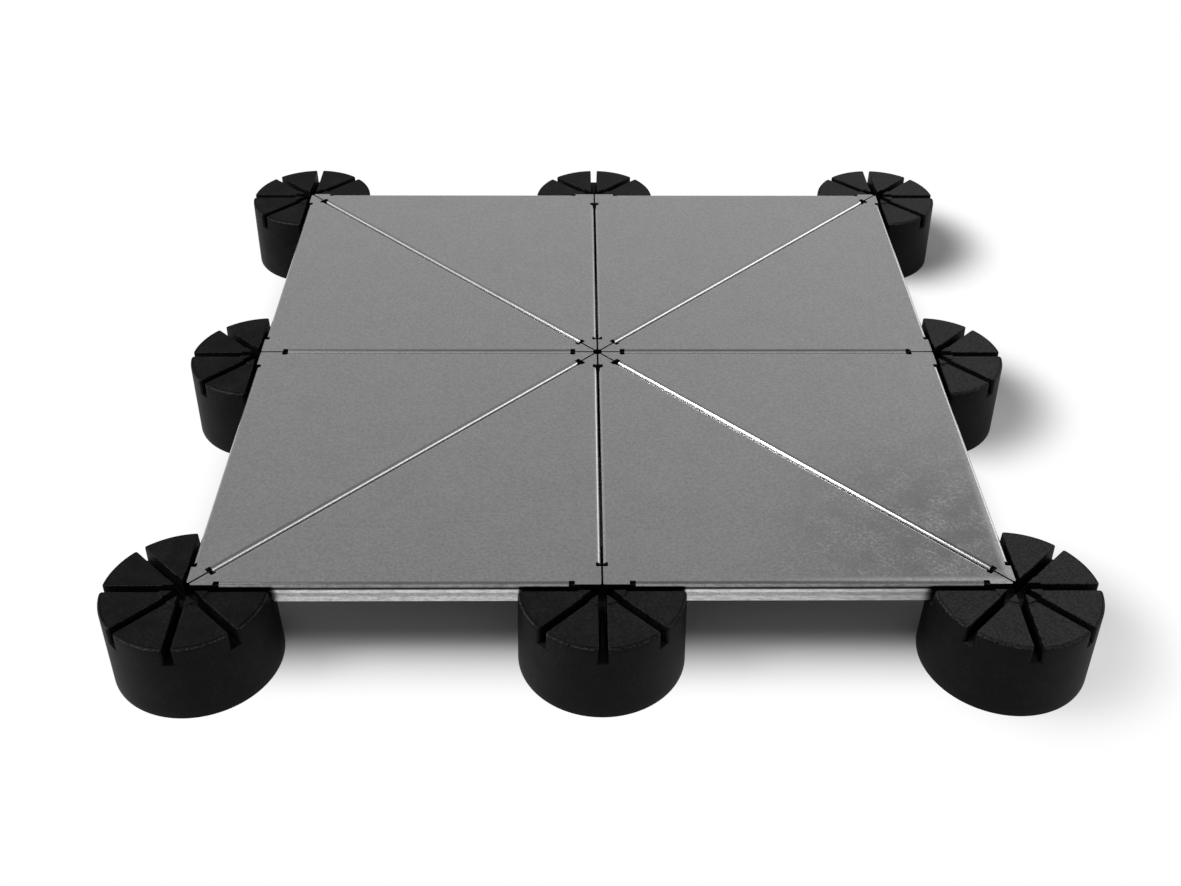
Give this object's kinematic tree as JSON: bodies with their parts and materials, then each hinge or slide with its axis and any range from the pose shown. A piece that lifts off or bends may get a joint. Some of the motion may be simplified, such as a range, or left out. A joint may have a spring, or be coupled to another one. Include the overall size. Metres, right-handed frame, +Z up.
{
  "type": "low raised floor module with folded triangular steel tiles",
  "caption": "Low raised floor module: folded sheet-steel triangles drop their flanges into the slots of black rubber pedestals and leave a shallow cable space over the slab.",
  "frame": {"origin": "on the slab under the middle of the centre pedestal, which is the bottom centre of the module", "axes": "+Z up; +X to the right along the front side; +Y from the front side to the back; the pedestal grid and the square's sides lie along X and Y"},
  "size_m": [0.725, 0.725, 0.071],
  "materials": {
    "rubber": "matt moulded black rubber",
    "galvanised_steel": "matt zinc-coated sheet"
  },
  "bodies": {
    "root": {"pedestal_front_left": "rubber", "pedestal_front_middle": "rubber", "pedestal_front_right": "rubber", "pedestal_middle_left": "rubber", "pedestal_centre": "rubber", "pedestal_middle_right": "rubber", "pedestal_back_left": "rubber", "pedestal_back_middle": "rubber", "pedestal_back_right": "rubber", "tile_front_left": "galvanised_steel", "tile_front_right": "galvanised_steel", "tile_right_front": "galvanised_steel", "tile_right_back": "galvanised_steel", "tile_back_right": "galvanised_steel", "tile_back_left": "galvanised_steel", "tile_left_back": "galvanised_steel", "tile_left_front": "galvanised_steel"}
  },
  "joints": []
}
